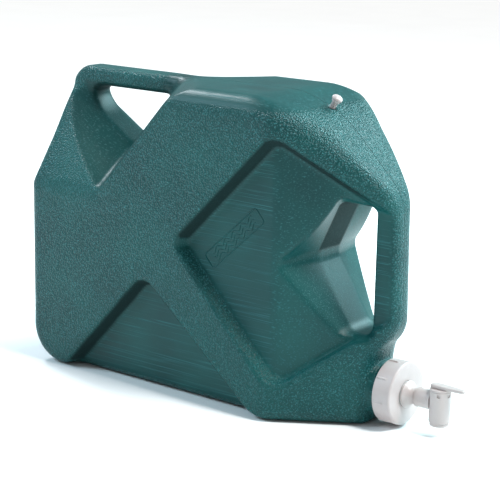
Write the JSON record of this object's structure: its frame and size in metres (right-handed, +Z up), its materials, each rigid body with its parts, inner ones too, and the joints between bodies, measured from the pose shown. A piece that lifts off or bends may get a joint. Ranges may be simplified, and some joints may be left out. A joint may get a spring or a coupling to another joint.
{
  "type": "jerry can",
  "caption": "Plastic water jerry can with a grip at each end, sunk side panels, a ribbed screw cap at the foot of the front, and a quarter-turn tap through the cap.",
  "frame": {"origin": "on the flat base, midway between the rear wall and the front wall, in the mid-plane", "axes": "+X towards the cap and tap, +Z up, +Y to the side that is on the left when looking along +X"},
  "size_m": [0.5902, 0.195, 0.375],
  "materials": {
    "tank": "pebble grained, smooth in the sunk panels",
    "cap": "satin moulded",
    "tap": "satin moulded",
    "seal": "soft",
    "ring": "soft"
  },
  "bodies": {
    "can": {"can_body": "tank"},
    "gasket": {"cap_gasket": "seal"},
    "cap": {"screw_cap": "cap"},
    "spigot": {"spigot_body": "tap", "spigot_washer": "seal", "spigot_nut": "tap"},
    "tap": {"tap_lever": "tap", "upper_plug_ring": "ring", "lower_plug_ring": "ring"},
    "vent": {"vent_plug": "cap"}
  },
  "joints": [
    {"name": "cap_travel", "type": "slide", "parent": "can", "child": "gasket", "axis": [1, 0, 0], "range_m": [0, 0.021]},
    {"name": "cap_turn", "type": "hinge", "parent": "gasket", "child": "cap", "pos_m": [0.2742, 0, 0.04], "axis": [1, 0, 0], "range_deg": [0, 1260]},
    {"name": "spigot_swivel", "type": "hinge", "parent": "cap", "child": "spigot", "pos_m": [0.2742, 0, 0.04], "axis": [1, 0, 0], "range_deg": [-180, 180]},
    {"name": "tap_turn", "type": "hinge", "parent": "spigot", "child": "tap", "pos_m": [0.3192, 0, 0.04], "axis": [0, 0, 1], "range_deg": [0, 90]},
    {"name": "vent_pull", "type": "slide", "parent": "can", "child": "vent", "axis": [0.5299, 0, 0.848], "range_m": [0, 0.03]}
  ],
  "couplings": [
    {"joint": "cap_travel", "follows": "cap_turn", "m_per_rad": 0.00095493}
  ]
}
